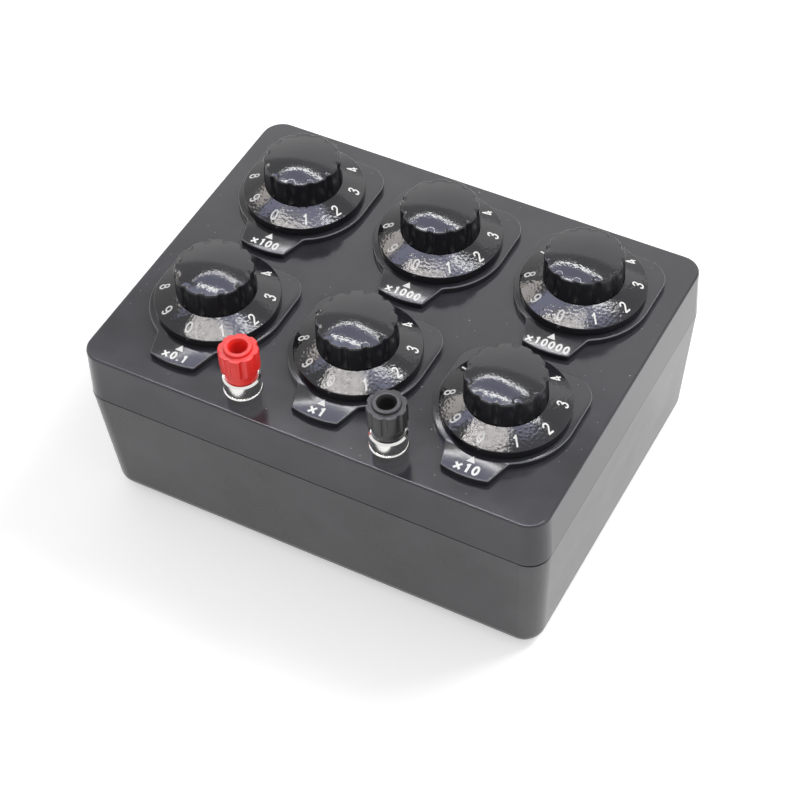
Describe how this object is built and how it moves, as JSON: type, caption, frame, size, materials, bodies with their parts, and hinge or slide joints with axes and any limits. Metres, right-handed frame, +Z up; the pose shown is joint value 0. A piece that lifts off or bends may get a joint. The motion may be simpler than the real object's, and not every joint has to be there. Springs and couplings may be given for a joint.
{
  "type": "resistance decade box",
  "caption": "Bench resistance decade box: black moulded case, numbered turning dials with multiplier plates, and a red and a black binding post with 4 mm sockets.",
  "frame": {"origin": "middle of the footprint, on the table", "axes": "+Z up, +Y to the back, +X to the right of someone in front"},
  "size_m": [0.161, 0.123, 0.0855],
  "materials": {
    "case_black": "semi-gloss moulded plastic",
    "lower_black": "semi-gloss moulded plastic",
    "plate_black": "satin",
    "dial_black": "high gloss",
    "knob_black": "high gloss",
    "cap_red": "semi-gloss",
    "cap_black": "semi-gloss",
    "nickel": "polished nickel plate",
    "brass": "turned",
    "wiper_bronze": "stamped",
    "steel": "plated",
    "screw_steel": "zinc plated",
    "deck_brown": "laminated board",
    "card_tan": "wire wound card",
    "copper_wire": "tinned copper",
    "foot_rubber": "matt"
  },
  "bodies": {
    "case": {"top_cover": "case_black", "lower_case": "lower_black", "case_screws": "screw_steel", "rubber_feet": "foot_rubber", "bushes": "brass", "bush_nuts": "brass", "index_housings": "steel", "deck_spacers": "steel", "switch_decks": "deck_brown", "collector_rings": "brass", "contact_studs": "brass", "resistance_cards": "card_tan", "link_wires": "copper_wire", "post_body_red": "nickel", "post_body_black": "nickel", "post_nuts": "nickel", "solder_tags": "nickel", "scale_plate_x0_1": "plate_black", "scale_plate_x1": "plate_black", "scale_plate_x10": "plate_black", "scale_plate_x100": "plate_black", "scale_plate_x1000": "plate_black", "scale_plate_x10000": "plate_black"},
    "dial_x0_1": {"knob_x0_1": "knob_black", "dial_skirt_x0_1": "dial_black", "shaft_x0_1": "brass", "grub_screw_x0_1": "screw_steel", "wiper_x0_1": "wiper_bronze"},
    "dial_x1": {"knob_x1": "knob_black", "dial_skirt_x1": "dial_black", "shaft_x1": "brass", "grub_screw_x1": "screw_steel", "wiper_x1": "wiper_bronze"},
    "dial_x10": {"knob_x10": "knob_black", "dial_skirt_x10": "dial_black", "shaft_x10": "brass", "grub_screw_x10": "screw_steel", "wiper_x10": "wiper_bronze"},
    "dial_x100": {"knob_x100": "knob_black", "dial_skirt_x100": "dial_black", "shaft_x100": "brass", "grub_screw_x100": "screw_steel", "wiper_x100": "wiper_bronze"},
    "dial_x1000": {"knob_x1000": "knob_black", "dial_skirt_x1000": "dial_black", "shaft_x1000": "brass", "grub_screw_x1000": "screw_steel", "wiper_x1000": "wiper_bronze"},
    "dial_x10000": {"knob_x10000": "knob_black", "dial_skirt_x10000": "dial_black", "shaft_x10000": "brass", "grub_screw_x10000": "screw_steel", "wiper_x10000": "wiper_bronze"},
    "insert_red": {"post_insert_red": "brass"},
    "cap_red": {"post_cap_red": "cap_red"},
    "insert_black": {"post_insert_black": "brass"},
    "cap_black": {"post_cap_black": "cap_black"}
  },
  "joints": [
    {"name": "turn_x0_1", "type": "hinge", "parent": "case", "child": "dial_x0_1", "pos_m": [-0.05061, -0.02383, 0.0655], "axis": [0, 0, -1], "continuous": true},
    {"name": "turn_x1", "type": "hinge", "parent": "case", "child": "dial_x1", "pos_m": [0, -0.02383, 0.0655], "axis": [0, 0, -1], "continuous": true},
    {"name": "turn_x10", "type": "hinge", "parent": "case", "child": "dial_x10", "pos_m": [0.05061, -0.02383, 0.0655], "axis": [0, 0, -1], "continuous": true},
    {"name": "turn_x100", "type": "hinge", "parent": "case", "child": "dial_x100", "pos_m": [-0.05061, 0.03137, 0.0655], "axis": [0, 0, -1], "continuous": true},
    {"name": "turn_x1000", "type": "hinge", "parent": "case", "child": "dial_x1000", "pos_m": [0, 0.03137, 0.0655], "axis": [0, 0, -1], "continuous": true},
    {"name": "turn_x10000", "type": "hinge", "parent": "case", "child": "dial_x10000", "pos_m": [0.05061, 0.03137, 0.0655], "axis": [0, 0, -1], "continuous": true},
    {"name": "lift_red", "type": "slide", "parent": "case", "child": "insert_red", "axis": [0, 0, 1], "range_m": [0, 0.003]},
    {"name": "unscrew_red", "type": "hinge", "parent": "insert_red", "child": "cap_red", "pos_m": [-0.02531, -0.0513, 0.0655], "axis": [0, 0, 1], "range_deg": [0, 1350.5]},
    {"name": "lift_black", "type": "slide", "parent": "case", "child": "insert_black", "axis": [0, 0, 1], "range_m": [0, 0.003]},
    {"name": "unscrew_black", "type": "hinge", "parent": "insert_black", "child": "cap_black", "pos_m": [0.02531, -0.0513, 0.0655], "axis": [0, 0, 1], "range_deg": [0, 1350.5]}
  ],
  "couplings": [
    {"joint": "unscrew_red", "follows": "lift_red", "rad_per_m": 7854},
    {"joint": "unscrew_black", "follows": "lift_black", "rad_per_m": 7854}
  ]
}
